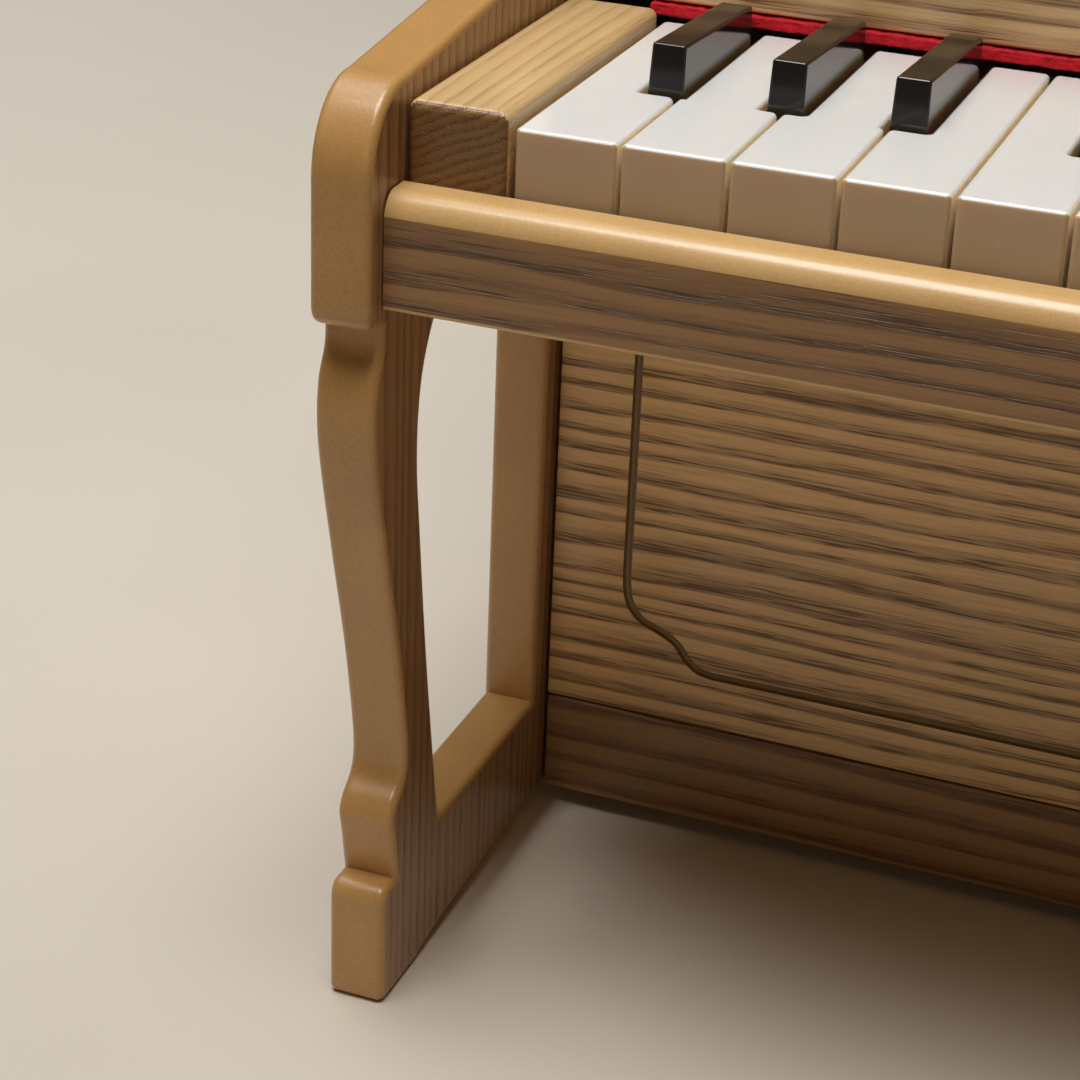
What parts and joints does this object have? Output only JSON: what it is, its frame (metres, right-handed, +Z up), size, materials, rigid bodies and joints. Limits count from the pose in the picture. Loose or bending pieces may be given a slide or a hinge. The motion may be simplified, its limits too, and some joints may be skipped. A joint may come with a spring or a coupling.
{
  "type": "miniature upright piano",
  "caption": "Miniature upright piano with shaped open legs, a keyboard of sprung keys that strike tone pipes, and a hinged top lid.",
  "frame": {"origin": "on the floor, below the middle of the bounding box", "axes": "+X along the keyboard towards the treble end, +Y from the player to the back, +Z up"},
  "size_m": [0.429, 0.235, 0.3083],
  "materials": {
    "case_wood": "satin lacquered ash with open horizontal grain",
    "edge_wood": "satin lacquered solid ash, rounded edges",
    "inner_wood": "raw inner wood and board",
    "white_key": "gloss ivory white",
    "black_key": "gloss black",
    "red_felt": "dense red felt",
    "brass": "brushed brass",
    "pipe_metal": "satin drawn tube"
  },
  "bodies": {
    "case": {"side_board_left": "case_wood", "side_board_right": "case_wood", "key_slip": "edge_wood", "cheek_block_left": "edge_wood", "cheek_block_right": "edge_wood", "key_bed": "inner_wood", "front_rail_felt": "red_felt", "balance_rail": "inner_wood", "pivot_rod": "brass", "back_rail": "inner_wood", "back_rail_felt": "red_felt", "lower_panel": "case_wood", "plinth_rail": "case_wood", "bottom_board": "inner_wood", "back_panel": "inner_wood", "name_board": "case_wood", "name_board_felt": "red_felt", "upper_panel": "case_wood", "music_ledge": "edge_wood", "top_rear_strip": "edge_wood", "lid_hinge_rear_leaf": "brass", "pipe_rail_front": "inner_wood", "pipe_rail_back": "inner_wood", "tone_pipes": "pipe_metal"},
    "lid": {"top_lid": "edge_wood", "lid_hinge_front_leaf": "brass"},
    "key_f_1": {"key_f_1": "white_key"},
    "key_f_sharp_1": {"key_f_sharp_1": "black_key"},
    "key_g_1": {"key_g_1": "white_key"},
    "key_g_sharp_1": {"key_g_sharp_1": "black_key"},
    "key_a_1": {"key_a_1": "white_key"},
    "key_a_sharp_1": {"key_a_sharp_1": "black_key"},
    "key_b_1": {"key_b_1": "white_key"},
    "key_c_2": {"key_c_2": "white_key"},
    "key_c_sharp_2": {"key_c_sharp_2": "black_key"},
    "key_d_2": {"key_d_2": "white_key"},
    "key_d_sharp_2": {"key_d_sharp_2": "black_key"},
    "key_e_2": {"key_e_2": "white_key"},
    "key_f_2": {"key_f_2": "white_key"},
    "key_f_sharp_2": {"key_f_sharp_2": "black_key"},
    "key_g_2": {"key_g_2": "white_key"},
    "key_g_sharp_2": {"key_g_sharp_2": "black_key"},
    "key_a_2": {"key_a_2": "white_key"},
    "key_a_sharp_2": {"key_a_sharp_2": "black_key"},
    "key_b_2": {"key_b_2": "white_key"},
    "key_c_3": {"key_c_3": "white_key"},
    "key_c_sharp_3": {"key_c_sharp_3": "black_key"},
    "key_d_3": {"key_d_3": "white_key"},
    "key_d_sharp_3": {"key_d_sharp_3": "black_key"},
    "key_e_3": {"key_e_3": "white_key"},
    "key_f_3": {"key_f_3": "white_key"},
    "key_f_sharp_3": {"key_f_sharp_3": "black_key"},
    "key_g_3": {"key_g_3": "white_key"},
    "key_g_sharp_3": {"key_g_sharp_3": "black_key"},
    "key_a_3": {"key_a_3": "white_key"},
    "key_a_sharp_3": {"key_a_sharp_3": "black_key"},
    "key_b_3": {"key_b_3": "white_key"},
    "key_c_4": {"key_c_4": "white_key"}
  },
  "joints": [
    {"name": "lid_hinge", "type": "hinge", "parent": "case", "child": "lid", "pos_m": [0, 0.085, 0.3067], "axis": [-1, 0, 0], "range_deg": [0, 170]},
    {"name": "key_f_1_press", "type": "hinge", "parent": "case", "child": "key_f_1", "pos_m": [0, 0.01, 0.1698], "axis": [1, 0, 0], "range_deg": [0, 2.5], "stiffness_Nm_per_rad": 0.12, "springref_deg": -17.19},
    {"name": "key_f_sharp_1_press", "type": "hinge", "parent": "case", "child": "key_f_sharp_1", "pos_m": [0, 0.01, 0.1698], "axis": [1, 0, 0], "range_deg": [0, 2.5], "stiffness_Nm_per_rad": 0.12, "springref_deg": -17.19},
    {"name": "key_g_1_press", "type": "hinge", "parent": "case", "child": "key_g_1", "pos_m": [0, 0.01, 0.1698], "axis": [1, 0, 0], "range_deg": [0, 2.5], "stiffness_Nm_per_rad": 0.12, "springref_deg": -17.19},
    {"name": "key_g_sharp_1_press", "type": "hinge", "parent": "case", "child": "key_g_sharp_1", "pos_m": [0, 0.01, 0.1698], "axis": [1, 0, 0], "range_deg": [0, 2.5], "stiffness_Nm_per_rad": 0.12, "springref_deg": -17.19},
    {"name": "key_a_1_press", "type": "hinge", "parent": "case", "child": "key_a_1", "pos_m": [0, 0.01, 0.1698], "axis": [1, 0, 0], "range_deg": [0, 2.5], "stiffness_Nm_per_rad": 0.12, "springref_deg": -17.19},
    {"name": "key_a_sharp_1_press", "type": "hinge", "parent": "case", "child": "key_a_sharp_1", "pos_m": [0, 0.01, 0.1698], "axis": [1, 0, 0], "range_deg": [0, 2.5], "stiffness_Nm_per_rad": 0.12, "springref_deg": -17.19},
    {"name": "key_b_1_press", "type": "hinge", "parent": "case", "child": "key_b_1", "pos_m": [0, 0.01, 0.1698], "axis": [1, 0, 0], "range_deg": [0, 2.5], "stiffness_Nm_per_rad": 0.12, "springref_deg": -17.19},
    {"name": "key_c_2_press", "type": "hinge", "parent": "case", "child": "key_c_2", "pos_m": [0, 0.01, 0.1698], "axis": [1, 0, 0], "range_deg": [0, 2.5], "stiffness_Nm_per_rad": 0.12, "springref_deg": -17.19},
    {"name": "key_c_sharp_2_press", "type": "hinge", "parent": "case", "child": "key_c_sharp_2", "pos_m": [0, 0.01, 0.1698], "axis": [1, 0, 0], "range_deg": [0, 2.5], "stiffness_Nm_per_rad": 0.12, "springref_deg": -17.19},
    {"name": "key_d_2_press", "type": "hinge", "parent": "case", "child": "key_d_2", "pos_m": [0, 0.01, 0.1698], "axis": [1, 0, 0], "range_deg": [0, 2.5], "stiffness_Nm_per_rad": 0.12, "springref_deg": -17.19},
    {"name": "key_d_sharp_2_press", "type": "hinge", "parent": "case", "child": "key_d_sharp_2", "pos_m": [0, 0.01, 0.1698], "axis": [1, 0, 0], "range_deg": [0, 2.5], "stiffness_Nm_per_rad": 0.12, "springref_deg": -17.19},
    {"name": "key_e_2_press", "type": "hinge", "parent": "case", "child": "key_e_2", "pos_m": [0, 0.01, 0.1698], "axis": [1, 0, 0], "range_deg": [0, 2.5], "stiffness_Nm_per_rad": 0.12, "springref_deg": -17.19},
    {"name": "key_f_2_press", "type": "hinge", "parent": "case", "child": "key_f_2", "pos_m": [0, 0.01, 0.1698], "axis": [1, 0, 0], "range_deg": [0, 2.5], "stiffness_Nm_per_rad": 0.12, "springref_deg": -17.19},
    {"name": "key_f_sharp_2_press", "type": "hinge", "parent": "case", "child": "key_f_sharp_2", "pos_m": [0, 0.01, 0.1698], "axis": [1, 0, 0], "range_deg": [0, 2.5], "stiffness_Nm_per_rad": 0.12, "springref_deg": -17.19},
    {"name": "key_g_2_press", "type": "hinge", "parent": "case", "child": "key_g_2", "pos_m": [0, 0.01, 0.1698], "axis": [1, 0, 0], "range_deg": [0, 2.5], "stiffness_Nm_per_rad": 0.12, "springref_deg": -17.19},
    {"name": "key_g_sharp_2_press", "type": "hinge", "parent": "case", "child": "key_g_sharp_2", "pos_m": [0, 0.01, 0.1698], "axis": [1, 0, 0], "range_deg": [0, 2.5], "stiffness_Nm_per_rad": 0.12, "springref_deg": -17.19},
    {"name": "key_a_2_press", "type": "hinge", "parent": "case", "child": "key_a_2", "pos_m": [0, 0.01, 0.1698], "axis": [1, 0, 0], "range_deg": [0, 2.5], "stiffness_Nm_per_rad": 0.12, "springref_deg": -17.19},
    {"name": "key_a_sharp_2_press", "type": "hinge", "parent": "case", "child": "key_a_sharp_2", "pos_m": [0, 0.01, 0.1698], "axis": [1, 0, 0], "range_deg": [0, 2.5], "stiffness_Nm_per_rad": 0.12, "springref_deg": -17.19},
    {"name": "key_b_2_press", "type": "hinge", "parent": "case", "child": "key_b_2", "pos_m": [0, 0.01, 0.1698], "axis": [1, 0, 0], "range_deg": [0, 2.5], "stiffness_Nm_per_rad": 0.12, "springref_deg": -17.19},
    {"name": "key_c_3_press", "type": "hinge", "parent": "case", "child": "key_c_3", "pos_m": [0, 0.01, 0.1698], "axis": [1, 0, 0], "range_deg": [0, 2.5], "stiffness_Nm_per_rad": 0.12, "springref_deg": -17.19},
    {"name": "key_c_sharp_3_press", "type": "hinge", "parent": "case", "child": "key_c_sharp_3", "pos_m": [0, 0.01, 0.1698], "axis": [1, 0, 0], "range_deg": [0, 2.5], "stiffness_Nm_per_rad": 0.12, "springref_deg": -17.19},
    {"name": "key_d_3_press", "type": "hinge", "parent": "case", "child": "key_d_3", "pos_m": [0, 0.01, 0.1698], "axis": [1, 0, 0], "range_deg": [0, 2.5], "stiffness_Nm_per_rad": 0.12, "springref_deg": -17.19},
    {"name": "key_d_sharp_3_press", "type": "hinge", "parent": "case", "child": "key_d_sharp_3", "pos_m": [0, 0.01, 0.1698], "axis": [1, 0, 0], "range_deg": [0, 2.5], "stiffness_Nm_per_rad": 0.12, "springref_deg": -17.19},
    {"name": "key_e_3_press", "type": "hinge", "parent": "case", "child": "key_e_3", "pos_m": [0, 0.01, 0.1698], "axis": [1, 0, 0], "range_deg": [0, 2.5], "stiffness_Nm_per_rad": 0.12, "springref_deg": -17.19},
    {"name": "key_f_3_press", "type": "hinge", "parent": "case", "child": "key_f_3", "pos_m": [0, 0.01, 0.1698], "axis": [1, 0, 0], "range_deg": [0, 2.5], "stiffness_Nm_per_rad": 0.12, "springref_deg": -17.19},
    {"name": "key_f_sharp_3_press", "type": "hinge", "parent": "case", "child": "key_f_sharp_3", "pos_m": [0, 0.01, 0.1698], "axis": [1, 0, 0], "range_deg": [0, 2.5], "stiffness_Nm_per_rad": 0.12, "springref_deg": -17.19},
    {"name": "key_g_3_press", "type": "hinge", "parent": "case", "child": "key_g_3", "pos_m": [0, 0.01, 0.1698], "axis": [1, 0, 0], "range_deg": [0, 2.5], "stiffness_Nm_per_rad": 0.12, "springref_deg": -17.19},
    {"name": "key_g_sharp_3_press", "type": "hinge", "parent": "case", "child": "key_g_sharp_3", "pos_m": [0, 0.01, 0.1698], "axis": [1, 0, 0], "range_deg": [0, 2.5], "stiffness_Nm_per_rad": 0.12, "springref_deg": -17.19},
    {"name": "key_a_3_press", "type": "hinge", "parent": "case", "child": "key_a_3", "pos_m": [0, 0.01, 0.1698], "axis": [1, 0, 0], "range_deg": [0, 2.5], "stiffness_Nm_per_rad": 0.12, "springref_deg": -17.19},
    {"name": "key_a_sharp_3_press", "type": "hinge", "parent": "case", "child": "key_a_sharp_3", "pos_m": [0, 0.01, 0.1698], "axis": [1, 0, 0], "range_deg": [0, 2.5], "stiffness_Nm_per_rad": 0.12, "springref_deg": -17.19},
    {"name": "key_b_3_press", "type": "hinge", "parent": "case", "child": "key_b_3", "pos_m": [0, 0.01, 0.1698], "axis": [1, 0, 0], "range_deg": [0, 2.5], "stiffness_Nm_per_rad": 0.12, "springref_deg": -17.19},
    {"name": "key_c_4_press", "type": "hinge", "parent": "case", "child": "key_c_4", "pos_m": [0, 0.01, 0.1698], "axis": [1, 0, 0], "range_deg": [0, 2.5], "stiffness_Nm_per_rad": 0.12, "springref_deg": -17.19}
  ]
}
